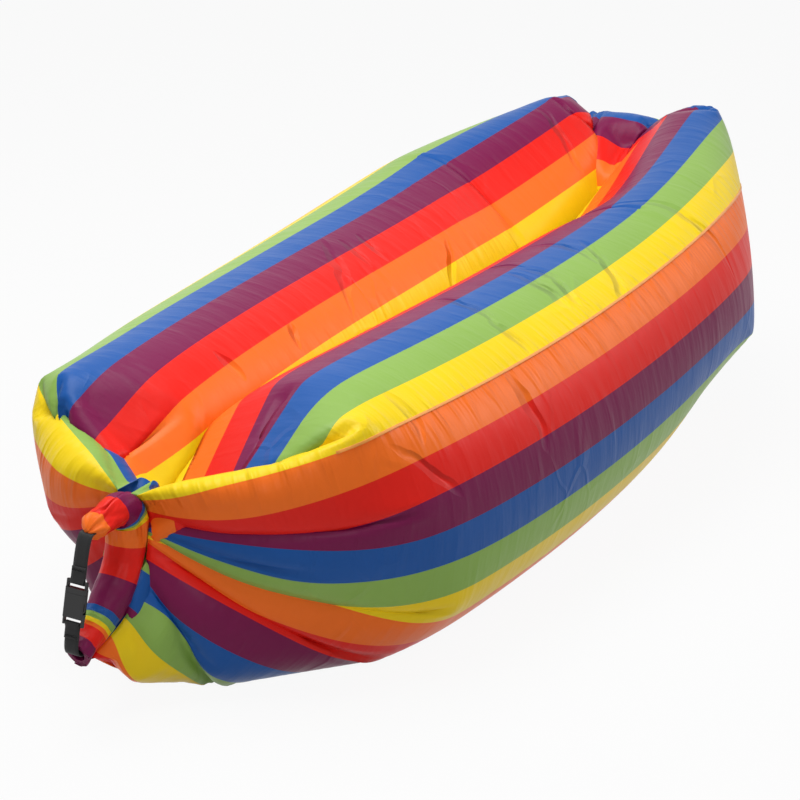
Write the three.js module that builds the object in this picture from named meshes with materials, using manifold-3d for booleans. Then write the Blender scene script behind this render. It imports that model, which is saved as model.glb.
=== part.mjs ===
// Inflatable air lounger: one long fabric sleeve, folded back on itself at the head end, blown up with air,
// and closed by rolling its two ends together and clipping the roll's tips to each other with a buckle.
// Millimetres, +Z up. +X points to the folded end, -X to the rolled mouth, and -Y to the near half.
import * as THREE from 'three';
import Module from 'manifold-3d';
import { mergeVertices } from 'three/addons/utils/BufferGeometryUtils.js';

const wasm = await Module();
wasm.setup();

// Sleeve
const flatWidth = 720; // width of the sleeve when it lies flat and empty
const tubeRadius = flatWidth / Math.PI;
const straightLength = 1060; // from the gathers to the fold axis
const fabricWall = 1;
const linerClearance = 0.5; // between the sleeve's inside and the inner film
const linerWall = 0.4;
const contactFlat = 11; // how far each round half is pressed flat against the other
const restFlat = 8; // how far the underside is pressed flat on the ground
const tubeHeight = 458;
const headRise = 30; // how much the crest climbs along the tubes towards the folded end
const foldRise = 46; // how much more it climbs round the fold, where the cloth is pushed up
const foldLift = 50; // how far the fold's underside lifts off the ground
const foldReach = 425; // from the fold axis to the outer skin of the folded end
const foldCreaseRadius = 30; // open core of the inner corner, where the sleeve doubles back
const clearance = 0.3;

// Mouth gathers
const gatherReach = 425; // from the straight tubes to the foremost bulge
const gatherAngle = THREE.MathUtils.degToRad(118); // how far the skin curls in to the roll
const pleatCount = 8;
const pleatDepth = 9;
const slitHalfHeight = 82;
const slitWidth = 5;

// Rolled mouth
const rollCentreHeight = 212;
const rollHalfHeight = 88; // from the roll's middle to the axis of each bent-out arm
const rollBendRadius = 46;
const upperArmLength = 34;
const lowerArmLength = 74;
const rollTurns = 4;
const rollPitch = 5;
const woundThickness = 3.1; // four fabric layers wound as one

const stripThickness = 1.1; // stiffening strips in the mouth's hems

// Webbing
const webbingWidth = 25;
const webbingThickness = 1.7;
const webbingTail = 22; // length held inside the rolled mouth
const upperStrapDrop = 66; // from the upper arm's axis down to the plug's bar
const upperStrapReach = 27; // from the upper arm's tip out to the plug's bar
const loopSteps = 6;
const tackHeightShare = 0.8;
const tackLength = 21;
const tackWidth = 3;
const tackThickness = 0.7;

// Side-release buckle
const buckleWidth = 36;
const buckleThickness = 11;
const buckleCorner = 3;
const cornerSteps = 3;
const socketDepth = 36;
const shellWall = 1.8;
const windowBottomShare = 0.32; // of the socket's depth, from its mouth
const windowTopShare = 0.78;
const frameRail = 3.4;
const frameOverlap = 1; // how far a frame runs into the body that it grows from
const slotHeight = 7;
const barRadius = 2.3;
const barSides = 10;
const plugBase = 8;
const prongLength = 28;
const prongThickness = 4.4;
const prongWidth = 3.2;
const prongSetback = 3.4; // from the socket's inner wall to the prong's root
const catchWidth = 2.4;
const catchLength = 11;
const guideWidth = 4.4;
const guideLength = 25;
const buckleTilt = THREE.MathUtils.degToRad(15);

// Seams
const seamWidth = 11;
const seamThickness = 1.2;
const seamLift = 0.4;
const seamTurnShare = 0.4; // how far round the sleeve the seam lies, from the contact over the crest
const joiningStripWidth = 13;
const joiningStripThickness = 2;

// Mesh counts
const around = 32;
const straightSteps = 3;
const gatherSteps = 7;
const foldSteps = 10;
const linerGatherRows = 2; // rows of each gather that the inner film runs into
const rollStepsPerTurn = 10;
const bendSteps = 4;

const colours = {
  red: 0xf0442f, orange: 0xf68a3c, yellow: 0xf2d637, green: 0x93c46a,
  purple: 0x7d3f74, film: 0xe6e9ea, black: 0x1b1b1e, strip: 0xdcdcd6, thread: 0x2a2a2e,
};

const group = new THREE.Group();
const smooth = (t) => { const c = Math.min(Math.max(t, 0), 1); return c * c * (3 - 2 * c); };

function add(name, geometry, colour, roughness, parent = group) {
  const material = new THREE.MeshStandardMaterial({ color: colour, roughness, metalness: 0 });
  const mesh = new THREE.Mesh(geometry, material);
  mesh.name = name;
  parent.add(mesh);
  return mesh;
}

// Closed body between two grids of points. Rows run along the piece; a looped grid closes on itself.
function bodyBetween(outer, inner, looped) {
  const rows = outer.length;
  const cols = outer[0].length;
  const positions = [];
  for (const grid of [outer, inner]) for (const row of grid) for (const p of row) positions.push(p.x, p.y, p.z);
  const at = (side, i, j) => side * rows * cols + i * cols + (j % cols);
  const index = [];
  const quad = (a, b, c, d) => index.push(a, b, c, a, c, d);
  const lastCol = looped ? cols : cols - 1;
  for (let i = 0; i < rows - 1; i += 1) {
    for (let j = 0; j < lastCol; j += 1) {
      quad(at(0, i, j), at(0, i + 1, j), at(0, i + 1, j + 1), at(0, i, j + 1));
      quad(at(1, i, j), at(1, i, j + 1), at(1, i + 1, j + 1), at(1, i + 1, j));
    }
  }
  for (let j = 0; j < lastCol; j += 1) {
    quad(at(0, 0, j), at(0, 0, j + 1), at(1, 0, j + 1), at(1, 0, j));
    quad(at(0, rows - 1, j), at(1, rows - 1, j), at(1, rows - 1, j + 1), at(0, rows - 1, j + 1));
  }
  if (!looped) {
    for (let i = 0; i < rows - 1; i += 1) {
      quad(at(0, i, 0), at(1, i, 0), at(1, i + 1, 0), at(0, i + 1, 0));
      const j = cols - 1;
      quad(at(0, i, j), at(0, i + 1, j), at(1, i + 1, j), at(1, i, j));
    }
  }
  return outward(positions, index);
}

// Turns the faces so that the body's volume is positive.
function outward(positions, index) {
  const p = (k) => new THREE.Vector3().fromArray(positions, 3 * k);
  let volume = 0;
  for (let k = 0; k < index.length; k += 3) {
    volume += p(index[k]).dot(p(index[k + 1]).cross(p(index[k + 2])));
  }
  if (volume < 0) for (let k = 0; k < index.length; k += 3) [index[k], index[k + 1]] = [index[k + 1], index[k]];
  const geometry = new THREE.BufferGeometry();
  geometry.setAttribute('position', new THREE.Float32BufferAttribute(positions, 3));
  geometry.setIndex(index);
  geometry.computeVertexNormals();
  return geometry;
}

// Unit normals of a looped grid, pointing away from the air inside. A square end lies in a plane across x,
// and its normals stay in that plane.
function gridNormals(grid, squareEnds) {
  const last = grid.length - 1;
  const cols = grid[0].length;
  return grid.map((row, i) => row.map((p, j) => {
    const along = grid[Math.min(i + 1, last)][j].clone().sub(grid[Math.max(i - 1, 0)][j]);
    const ringStep = row[(j + 1) % cols].clone().sub(row[(j + cols - 1) % cols]);
    const normal = ringStep.cross(along);
    if (squareEnds.includes(i)) normal.x = 0;
    return normal.normalize();
  }));
}

const offsetGrid = (grid, normals, distance) => grid.map((row, i) => row.map(
  (p, j) => p.clone().addScaledVector(normals[i][j], distance),
));

// Cross-section of a blown-up half: angle 0 faces the other half, a quarter turn is the crest.
const contactPlane = clearance / 2;
const tubeCentre = tubeRadius - contactFlat + contactPlane;
function section(angle, halfWidth, height) {
  const half = (height + restFlat) / 2;
  const distance = Math.max(tubeCentre - halfWidth * Math.cos(angle), contactPlane);
  const level = Math.max(half * (1 + Math.sin(angle)) - restFlat, 0);
  return { distance, level };
}
const angleAt = (j) => (j / around) * 2 * Math.PI;
const columns = Array.from({ length: around }, (_, j) => j);

// Near half, from the gather to the fold axis. The fold axis is at x = 0 until the part is centred.
const heightAt = (x) => tubeHeight + headRise * Math.min(Math.max(1 + x / straightLength, 0), 1);
function straightRow(x) {
  const height = heightAt(x);
  return columns.map((j) => {
    const s = section(angleAt(j), tubeRadius, height);
    return new THREE.Vector3(x, -s.distance, s.level);
  });
}
const straightStart = -straightLength;
const straightGrid = [];
for (let i = 0; i <= straightSteps; i += 1) {
  straightGrid.push(straightRow(straightStart + (straightLength - clearance) * (i / straightSteps)));
}

// Folded end: the same section swept round the vertical fold axis, from the near half to the far half.
const foldGrid = [];
const halfWidthAll = tubeCentre + tubeRadius;
for (let i = 0; i <= foldSteps; i += 1) {
  const turn = -Math.PI / 2 + Math.PI * (i / foldSteps);
  const middle = Math.cos(turn);
  const reach = THREE.MathUtils.lerp(halfWidthAll, foldReach, middle * middle);
  const height = tubeHeight + headRise + foldRise * smooth(middle);
  const lift = foldLift * middle * middle;
  foldGrid.push(columns.map((j) => {
    const s = section(angleAt(j), tubeRadius, height);
    const crease = foldCreaseRadius * middle;
    const radius = crease + s.distance * ((reach - crease) / halfWidthAll);
    const level = lift + s.level * (1 - lift / height);
    return new THREE.Vector3(radius * middle, radius * Math.sin(turn), level);
  }));
}

// Height of the valley's floor where the gap on each side of the middle plane reaches the given value.
function valleyLevel(x, gap) {
  const half = (heightAt(x) + restFlat) / 2;
  const turn = Math.acos(Math.min((tubeCentre - gap) / tubeRadius, 1));
  return half * (1 + Math.sin(turn)) - restFlat;
}

// Rolled mouth: a wound band swept along a C whose two arms point out, away from the sleeve.
const coreCorner = Math.hypot(webbingWidth / 2, stripThickness + clearance);
const rollCoreRadius = coreCorner / Math.cos(Math.PI / rollStepsPerTurn) + clearance;
const rollPoints = Math.round(rollTurns * rollStepsPerTurn);
const rollSpiral = [];
for (let k = 0; k <= rollPoints; k += 1) {
  const angle = Math.PI / 2 + (k / rollStepsPerTurn) * 2 * Math.PI;
  rollSpiral.push({ angle, radius: rollCoreRadius + rollPitch * (k / rollStepsPerTurn) });
}
// How far the wound roll reaches in a direction across it.
const rollReach = (direction) => Math.max(...rollSpiral.map(
  (p) => (p.radius + woundThickness) * Math.cos(p.angle - direction),
));
const curlEnd = Math.cos(gatherAngle);
const curl = (angle) => (Math.cos(angle) - curlEnd) / (1 - curlEnd);
const slitX = straightStart - gatherReach * Math.sin(gatherAngle);
// The roll nests between the two halves' bulges: the last stretch of skin touches it side on.
const lastCurl = gatherAngle * (1 - 1 / gatherSteps);
const skinRun = gatherReach * (Math.sin(lastCurl) - Math.sin(gatherAngle));
const skinRise = curl(lastCurl) * halfWidthAll - slitWidth;
const seat = Math.atan2(skinRun, skinRise);
const seatReach = Math.max(rollReach(seat), rollReach(-seat)) + clearance;
const rollX = slitX + slitWidth * Math.tan(seat) - seatReach / Math.cos(seat);

// Mouth gather of the near half: the skin curls in from the tube to the slit at the roll, in pleats.
const gatherGrid = [];
for (let i = 0; i <= gatherSteps; i += 1) {
  const angle = gatherAngle * (i / gatherSteps);
  const share = curl(angle);
  gatherGrid.push(columns.map((j) => {
    const phi = angleAt(j);
    const s = section(phi, tubeRadius, tubeHeight);
    const slitDistance = contactPlane + (slitWidth / 2) * (1 - Math.cos(phi));
    const slitLevel = rollCentreHeight + slitHalfHeight * Math.sin(phi);
    const bulge = Math.sqrt(Math.abs(Math.sin(phi / 2)));
    const flat = straightStart + (slitX - straightStart) * (1 - share);
    const round = straightStart - clearance - gatherReach * Math.sin(angle);
    const pleat = pleatDepth * Math.sin(Math.PI * (i / gatherSteps)) ** 2 * Math.cos(pleatCount * phi);
    const x = i === gatherSteps ? slitX : Math.min(THREE.MathUtils.lerp(flat, round, bulge), straightStart - clearance);
    const distance = THREE.MathUtils.lerp(slitDistance, s.distance, share);
    const level = THREE.MathUtils.lerp(slitLevel, s.level, share);
    const fullness = 1 + (pleat * Math.sin(phi / 2) ** 2) / tubeRadius;
    return new THREE.Vector3(x, -Math.max(distance * fullness, contactPlane), Math.max(level, 0));
  }));
}
gatherGrid.reverse();

const mirrorRows = (grid) => grid.map((row) => row.map((p) => new THREE.Vector3(p.x, -p.y, p.z))).reverse();

function sleevePiece(name, grid, colour, squareEnds) {
  const normals = gridNormals(grid, squareEnds);
  add(name, bodyBetween(grid, offsetGrid(grid, normals, -fabricWall), true), colour, 0.45);
}
sleevePiece('near_half_tube', straightGrid, colours.orange, [0, straightSteps]);
sleevePiece('far_half_tube', mirrorRows(straightGrid), colours.yellow, [0, straightSteps]);
sleevePiece('folded_head_end', foldGrid, colours.green, [0, foldSteps]);
sleevePiece('near_mouth_gather', gatherGrid, colours.red, [gatherSteps]);
sleevePiece('far_mouth_gather', mirrorRows(gatherGrid), colours.purple, [0]);

// Inner film liner: follows the sleeve's inside, with every second point round it.
const linerEnds = gatherGrid.slice(-1 - linerGatherRows, -1);
const linerHalf = [...linerEnds, ...straightGrid];
const linerRows = [...linerHalf, ...foldGrid.slice(1, -1), ...mirrorRows(linerHalf)];
const linerJoins = [linerEnds.length, linerRows.length - 1 - linerEnds.length];
const linerNormals = gridNormals(linerRows, linerJoins);
const everySecond = (grid) => grid.map((row) => row.filter((_, j) => j % 2 === 0));
const linerOuter = everySecond(offsetGrid(linerRows, linerNormals, -(fabricWall + linerClearance)));
const linerInner = everySecond(offsetGrid(linerRows, linerNormals, -(fabricWall + linerClearance + linerWall)));
add('inner_film_liner', bodyBetween(linerOuter, linerInner, true), colours.film, 0.3);

// The C that the roll follows, as centre points with the direction across it, in the plane y = 0.
const upperLevel = rollCentreHeight + rollHalfHeight;
const lowerLevel = rollCentreHeight - rollHalfHeight;
const bendX = rollX - rollBendRadius;
const upperTipX = bendX - upperArmLength;
const lowerTipX = bendX - lowerArmLength;
function cPath(startTrim, endTrim) {
  const path = [{ x: upperTipX + startTrim, z: upperLevel, turn: Math.PI / 2 }];
  for (let k = 0; k <= bendSteps; k += 1) {
    const turn = (Math.PI / 2) * (1 - k / bendSteps);
    path.push({
      x: bendX + rollBendRadius * Math.cos(turn),
      z: upperLevel - rollBendRadius + rollBendRadius * Math.sin(turn),
      turn,
    });
  }
  for (let k = 0; k <= bendSteps; k += 1) {
    const turn = -(Math.PI / 2) * (k / bendSteps);
    path.push({
      x: bendX + rollBendRadius * Math.cos(turn),
      z: lowerLevel + rollBendRadius + rollBendRadius * Math.sin(turn),
      turn,
    });
  }
  path.push({ x: lowerTipX + endTrim, z: lowerLevel, turn: -Math.PI / 2 });
  return path;
}
// A point across the roll: out is away from the C's inside, side is along +Y.
const across = (p, out, side) => new THREE.Vector3(
  p.x + out * Math.cos(p.turn), side, p.z + out * Math.sin(p.turn),
);

function woundRoll(path) {
  const spiralRow = (p, extra) => rollSpiral.map(
    (s) => across(p, (s.radius + extra) * Math.cos(s.angle), (s.radius + extra) * Math.sin(s.angle)),
  );
  return bodyBetween(path.map((p) => spiralRow(p, woundThickness)), path.map((p) => spiralRow(p, 0)), false);
}
add('rolled_mouth', woundRoll(cPath(0, 0)), colours.red, 0.45);

// Strip of the given width and thickness, centred out from the roll's axis by the given distance.
function stripAlong(path, width, thickness, out) {
  const row = (p, level) => [across(p, level, -width / 2), across(p, level, width / 2)];
  const low = path.map((p) => row(p, out - thickness / 2));
  const high = path.map((p) => row(p, out + thickness / 2));
  return bodyBetween(high, low, false);
}
const stripPath = cPath(webbingTail + clearance, webbingTail + clearance);
const stripOffset = (stripThickness + clearance) / 2;
for (const [name, side] of [['near_stiffening_strip', 1], ['far_stiffening_strip', -1]]) {
  add(name, stripAlong(stripPath, webbingWidth, stripThickness, side * stripOffset), colours.strip, 0.5);
}

// Side-release buckle, in its own frame: the socket's mouth is at z = 0, the plug above it and the socket below.
// x runs through its thickness and y across its width. It leans out of plumb towards the lower arm.
const plugBottom = clearance;
const plugBarLevel = plugBottom + plugBase + slotHeight + barRadius;
const socketBarLevel = -(socketDepth + slotHeight + barRadius);
const buckleX = upperTipX - upperStrapReach - plugBarLevel * Math.sin(buckleTilt);
const buckleZ = upperLevel - upperStrapDrop - plugBarLevel * Math.cos(buckleTilt);
const buckle = new THREE.Group();
buckle.position.set(buckleX, 0, buckleZ);
buckle.rotation.y = buckleTilt;
group.add(buckle);

function solid(geometry) {
  const bare = geometry.clone();
  bare.deleteAttribute('normal');
  bare.deleteAttribute('uv');
  const merged = mergeVertices(bare);
  return new wasm.Manifold(new wasm.Mesh({
    numProp: 3,
    vertProperties: new Float32Array(merged.attributes.position.array),
    triVerts: new Uint32Array(merged.index.array),
  }));
}
function geometryOf(manifold) {
  const mesh = manifold.getMesh();
  const geometry = new THREE.BufferGeometry();
  geometry.setAttribute('position', new THREE.BufferAttribute(new Float32Array(mesh.vertProperties), 3));
  geometry.setIndex(new THREE.BufferAttribute(new Uint32Array(mesh.triVerts), 1));
  geometry.computeVertexNormals();
  return geometry;
}
// Block with given thickness (x), width (y) and levels (z).
function block(thickness, width, low, high, y = 0) {
  return solid(new THREE.BoxGeometry(thickness, width, high - low).translate(0, y, (low + high) / 2));
}
// Block with rounded edges along its height.
function roundedBlock(thickness, width, low, high, radius) {
  const x = thickness / 2;
  const y = width / 2;
  const shape = new THREE.Shape();
  shape.moveTo(-x + radius, -y);
  shape.lineTo(x - radius, -y);
  shape.absarc(x - radius, -y + radius, radius, -Math.PI / 2, 0);
  shape.lineTo(x, y - radius);
  shape.absarc(x - radius, y - radius, radius, 0, Math.PI / 2);
  shape.lineTo(-x + radius, y);
  shape.absarc(-x + radius, y - radius, radius, Math.PI / 2, Math.PI);
  shape.lineTo(-x, -y + radius);
  shape.absarc(-x + radius, -y + radius, radius, Math.PI, 1.5 * Math.PI);
  const settings = { depth: high - low, bevelEnabled: false, curveSegments: cornerSteps };
  return solid(new THREE.ExtrudeGeometry(shape, settings).translate(0, 0, low));
}
// Two rails and the round bar that the webbing turns round.
function webbingFrame(from, barLevel) {
  const end = barLevel + Math.sign(barLevel) * barRadius;
  const low = Math.min(from, end);
  const high = Math.max(from, end);
  const railY = (buckleWidth - frameRail) / 2;
  const bar = solid(new THREE.CylinderGeometry(barRadius, barRadius, buckleWidth - frameRail, barSides)
    .translate(0, 0, barLevel));
  return block(2 * barRadius, frameRail, low, high, -railY).add(block(2 * barRadius, frameRail, low, high, railY))
    .add(bar);
}

const windowTop = -socketDepth * windowTopShare;
const windowBottom = -socketDepth * windowBottomShare;
const socketCavity = block(buckleThickness - 2 * shellWall, buckleWidth - 2 * shellWall, shellWall - socketDepth, shellWall);
const socketWindows = block(buckleThickness - 2 * shellWall, buckleWidth + shellWall, windowTop, windowBottom);
const socket = roundedBlock(buckleThickness, buckleWidth, -socketDepth, 0, buckleCorner)
  .add(webbingFrame(frameOverlap - socketDepth, socketBarLevel))
  .subtract(socketCavity)
  .subtract(socketWindows);
add('buckle_socket', geometryOf(socket), colours.black, 0.35, buckle);

const guide = block(prongThickness, guideWidth, plugBottom - guideLength, plugBottom + frameOverlap);
const plug = roundedBlock(buckleThickness, buckleWidth, plugBottom, plugBottom + plugBase, buckleCorner)
  .add(webbingFrame(plugBottom + plugBase - frameOverlap, plugBarLevel))
  .add(guide);
add('buckle_plug', geometryOf(plug), colours.black, 0.35, buckle);

// Squeeze prong: a springy arm whose shoulder sits in the socket's side window.
const prongTop = plugBottom - clearance;
const shoulderTop = windowBottom - clearance;
const shoulderReach = buckleWidth / 2 - clearance;
const prongRoot = buckleWidth / 2 - shellWall - prongSetback - prongWidth;
function prongGeometry(side) {
  const shape = new THREE.Shape();
  const outline = [
    [prongRoot, prongTop],
    [prongRoot + prongWidth, prongTop],
    [shoulderReach - catchWidth, shoulderTop],
    [shoulderReach, shoulderTop],
    [shoulderReach, shoulderTop - catchLength],
    [shoulderReach - catchWidth, -prongLength],
    [prongRoot + catchWidth, -prongLength],
    [prongRoot + catchWidth, shoulderTop],
  ];
  outline.forEach(([y, z], k) => (k === 0 ? shape.moveTo(side * y, z) : shape.lineTo(side * y, z)));
  const settings = { depth: prongThickness, bevelEnabled: false };
  const geometry = new THREE.ExtrudeGeometry(shape, settings).translate(0, 0, -prongThickness / 2);
  // Shape plane (y, z) turned upright: its first axis becomes y and its depth becomes x.
  const upright = new THREE.Matrix4().makeBasis(
    new THREE.Vector3(0, 1, 0),
    new THREE.Vector3(0, 0, 1),
    new THREE.Vector3(1, 0, 0),
  );
  return geometry.applyMatrix4(upright);
}
add('near_squeeze_prong', prongGeometry(-1), colours.black, 0.35, buckle);
add('far_squeeze_prong', prongGeometry(1), colours.black, 0.35, buckle);

// Webbing: out of the roll's core, round the arm's tip, and looped round the buckle's bar.
const loopRadius = barRadius + clearance + webbingThickness / 2;
const layerOffset = (webbingThickness + clearance) / 2;
const buckleTurn = new THREE.Matrix4().makeRotationY(buckleTilt).setPosition(buckleX, 0, buckleZ);
const fromBuckle = (x, z) => new THREE.Vector3(x, 0, z).applyMatrix4(buckleTurn);
function loopPoints(barLevel, away) {
  const points = [[layerOffset, webbingTail], [layerOffset, webbingTail / 2]];
  for (let k = 0; k <= loopSteps; k += 1) {
    const turn = Math.PI * (k / loopSteps);
    points.push([loopRadius * Math.cos(turn), -loopRadius * Math.sin(turn)]);
  }
  points.push([-layerOffset, webbingTail / 2], [-layerOffset, webbingTail]);
  return points.map(([x, z]) => fromBuckle(x, barLevel + away * z));
}
function strap(name, tipX, level, barLevel) {
  const away = Math.sign(barLevel);
  const loop = loopPoints(barLevel, away);
  const inside = new THREE.Vector3(tipX + webbingTail, 0, level);
  const mouth = new THREE.Vector3(tipX - clearance, 0, level);
  const run = loop[0].clone().sub(loop[1]);
  const corner = loop[0].clone().addScaledVector(run, (level - loop[0].z) / run.z);
  const bend = new THREE.QuadraticBezierCurve3(mouth, corner, loop[0]).getPoints(loopSteps);
  add(name, ribbon([inside, ...bend, ...loop.slice(1)], webbingWidth, webbingThickness), colours.black, 0.8);
}
// Flat band of the given width (along y) that follows points in an upright plane.
function ribbon(points, width, thickness) {
  const low = [];
  const high = [];
  points.forEach((p, k) => {
    const before = p.clone().sub(points[Math.max(k - 1, 0)]);
    const after = points[Math.min(k + 1, points.length - 1)].clone().sub(p);
    const along = before.clone().normalize().add(after.clone().normalize()).normalize();
    const stretch = 1 / Math.max(along.dot(after.lengthSq() ? after.normalize() : before.normalize()), 0.5);
    const out = new THREE.Vector3(-along.z, 0, along.x).multiplyScalar((stretch * thickness) / 2);
    for (const [grid, sign] of [[low, -1], [high, 1]]) {
      grid.push([-1, 1].map((side) => new THREE.Vector3(
        p.x + sign * out.x,
        (side * width) / 2,
        p.z + sign * out.z,
      )));
    }
  });
  return bodyBetween(high, low, false);
}
strap('upper_webbing_strap', upperTipX, upperLevel, plugBarLevel);
strap('lower_webbing_strap', lowerTipX, lowerLevel, socketBarLevel);

// Bar tacks: dense stitching through each strap's two layers.
for (const [name, barLevel] of [['upper_bar_tack', plugBarLevel], ['lower_bar_tack', socketBarLevel]]) {
  const x = -(layerOffset + webbingThickness / 2 + clearance + tackThickness / 2);
  const z = barLevel + Math.sign(barLevel) * webbingTail * tackHeightShare;
  const tack = new THREE.BoxGeometry(tackThickness, tackLength, tackWidth).translate(x, 0, z);
  add(name, tack, colours.thread, 0.7, buckle);
}

// Long sewn seam of the sleeve: a folded strip along one row of facets, from mouth to mouth.
const seamColumn = Math.floor(around * seamTurnShare);
const seamRows = [...straightGrid.slice(0, -1), ...foldGrid, ...mirrorRows(straightGrid).slice(1)];
const seamNormals = gridNormals(seamRows, []);
const seamGrid = (lift) => seamRows.map((row, i) => {
  const a = row[seamColumn];
  const b = row[seamColumn + 1];
  const normal = seamNormals[i][seamColumn].clone().add(seamNormals[i][seamColumn + 1]).normalize();
  const share = seamWidth / (2 * a.distanceTo(b));
  return [0.5 - share, 0.5 + share].map((t) => a.clone().lerp(b, t).addScaledVector(normal, lift));
});
add('sleeve_long_seam', bodyBetween(seamGrid(seamLift + seamThickness), seamGrid(seamLift), false), colours.orange, 0.5);

// Joining strip in the valley: it holds the two halves to each other along their contact.
const joiningRow = (x, lift) => [-1, 1].map((side) => new THREE.Vector3(
  x,
  (side * joiningStripWidth) / 2,
  valleyLevel(x, joiningStripWidth / 2 + clearance) + lift,
));
const joiningGrid = (lift) => straightGrid.map((row) => joiningRow(row[0].x, lift));
add('valley_joining_strip', bodyBetween(joiningGrid(joiningStripThickness), joiningGrid(0), false), colours.purple, 0.5);

// Centred over its footprint, with the ground at zero.
const box = new THREE.Box3().setFromObject(group);
group.position.x = -(box.min.x + box.max.x) / 2;

export default group;
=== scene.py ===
"""An inflatable air lounger: a long striped sleeve folded in two, blown full of air, with its two
open ends rolled up together and held in a loop by a side-release buckle."""
import math

import bpy
import bmesh
import numpy as np
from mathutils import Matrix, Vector


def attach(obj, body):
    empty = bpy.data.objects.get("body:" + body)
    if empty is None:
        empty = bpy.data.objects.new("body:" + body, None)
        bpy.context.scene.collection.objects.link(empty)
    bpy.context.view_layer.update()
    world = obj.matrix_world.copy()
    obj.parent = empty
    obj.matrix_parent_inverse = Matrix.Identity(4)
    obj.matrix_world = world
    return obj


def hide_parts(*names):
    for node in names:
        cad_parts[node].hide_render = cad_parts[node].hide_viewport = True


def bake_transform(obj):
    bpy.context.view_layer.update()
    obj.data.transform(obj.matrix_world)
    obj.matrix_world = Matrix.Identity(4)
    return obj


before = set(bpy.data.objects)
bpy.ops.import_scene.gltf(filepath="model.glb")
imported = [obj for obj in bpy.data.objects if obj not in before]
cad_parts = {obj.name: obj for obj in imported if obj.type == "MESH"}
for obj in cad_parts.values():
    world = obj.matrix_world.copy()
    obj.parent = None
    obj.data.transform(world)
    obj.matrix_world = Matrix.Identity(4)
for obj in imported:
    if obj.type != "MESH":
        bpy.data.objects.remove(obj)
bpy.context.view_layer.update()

# Sizes, in metres.
FLAT_WIDTH = 0.72            # the sleeve pressed flat
STRIPE_COUNT = 24            # stripes all the way round
HALF_LENGTH = 2.22           # from the middle of the fold to a mouth, along the cloth
TUBE_APART = 0.213           # from the middle plane to the middle of one tube, before it is blown up
LINER_GAP = 0.012            # from the cloth to the film inside it

ROLL_RADIUS = 0.034          # at the middle of the roll
ROLL_TIP_RADIUS = 0.023      # at its two tips


def say_rgb(red, green, blue):
    """A colour given as it shows on a screen, 0 to 255, as the linear colour that shaders take."""
    linear = []
    for channel in (red, green, blue):
        share = channel / 255
        linear.append(share / 12.92 if share <= 0.04045 else ((share + 0.055) / 1.055) ** 2.4)
    return (*linear, 1.0)


RED = say_rgb(230, 34, 24)
ORANGE = say_rgb(248, 114, 34)
YELLOW = say_rgb(242, 208, 26)
GREEN = say_rgb(138, 174, 82)
BLUE = say_rgb(26, 84, 158)
PURPLE = say_rgb(118, 20, 72)
# angles round the sleeve start at the tube's inner side and go up over its crest and outwards
STRIPE_ORDER = [GREEN, YELLOW, ORANGE, RED, PURPLE, BLUE]
REPEATS = STRIPE_COUNT / len(STRIPE_ORDER)
STRIPE_START = 12.0          # the angle at which the first green begins
SEAM_ANGLE = STRIPE_START + 120       # the sewn seam, on the outer shoulder


# The camera, the floor and the light.
def set_camera():
    azimuth, elevation = math.radians(-59.953), math.radians(20.922)
    distance = 4.170
    target = Vector((-0.045, 0.01, 0.20))
    back = Vector((math.sin(azimuth) * math.cos(elevation),
                   -math.cos(azimuth) * math.cos(elevation),
                   math.sin(elevation)))
    data = bpy.data.cameras.new("camera")
    data.sensor_width = 36.0
    data.lens = 105.735
    data.clip_start = 0.05
    data.clip_end = 60.0
    camera = bpy.data.objects.new("camera", data)
    bpy.context.scene.collection.objects.link(camera)
    camera.location = target + back * distance
    camera.rotation_mode = "QUATERNION"
    camera.rotation_quaternion = (-back).to_track_quat("-Z", "Y")
    bpy.context.scene.camera = camera


def add_lamp(name, place, aim, size, power):
    data = bpy.data.lights.new(name, "AREA")
    data.shape = "RECTANGLE"
    data.size, data.size_y = size
    data.energy = power
    lamp = bpy.data.objects.new(name, data)
    bpy.context.scene.collection.objects.link(lamp)
    lamp.location = place
    lamp.rotation_mode = "QUATERNION"
    lamp.rotation_quaternion = (Vector(aim) - Vector(place)).to_track_quat("-Z", "Y")


def add_node(tree, kind, inputs, operation=None):
    """A new node, each of whose inputs is set to a value or linked to another node's output."""
    node = tree.nodes.new(kind)
    if operation:
        node.operation = operation
    for place, value in inputs.items():
        if isinstance(value, bpy.types.NodeSocket):
            tree.links.new(value, node.inputs[place])
        elif value is not None:
            node.inputs[place].default_value = value
    return node


def math_node(tree, operation, first, second=None):
    return add_node(tree, "ShaderNodeMath", {0: first, 1: second}, operation).outputs[0]


def seen_directly(tree):
    """1 for rays that show the surroundings: straight, mirrored or through clear pieces."""
    path = tree.nodes.new("ShaderNodeLightPath")
    total = path.outputs["Is Camera Ray"]
    for ray in ("Is Glossy Ray", "Is Transmission Ray"):
        total = math_node(tree, "MAXIMUM", total, path.outputs[ray])
    return total


def mixed_surface(tree, kind, share, lit, shown):
    """What the surroundings do to the object's light, mixed with how they are seen themselves."""
    mix = add_node(tree, "ShaderNodeMixShader", {"Fac": share, 1: lit.outputs[0],
                                                 2: shown.outputs[0]})
    add_node(tree, kind, {"Surface": mix.outputs[0]})


FLOOR_SIZE = 24
FLOOR_GREY = 0.62
FLOOR_WHITENESS = 0.93       # how much of the floor that is seen directly is plain white
WORLD_LIGHT = 0.25


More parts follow.
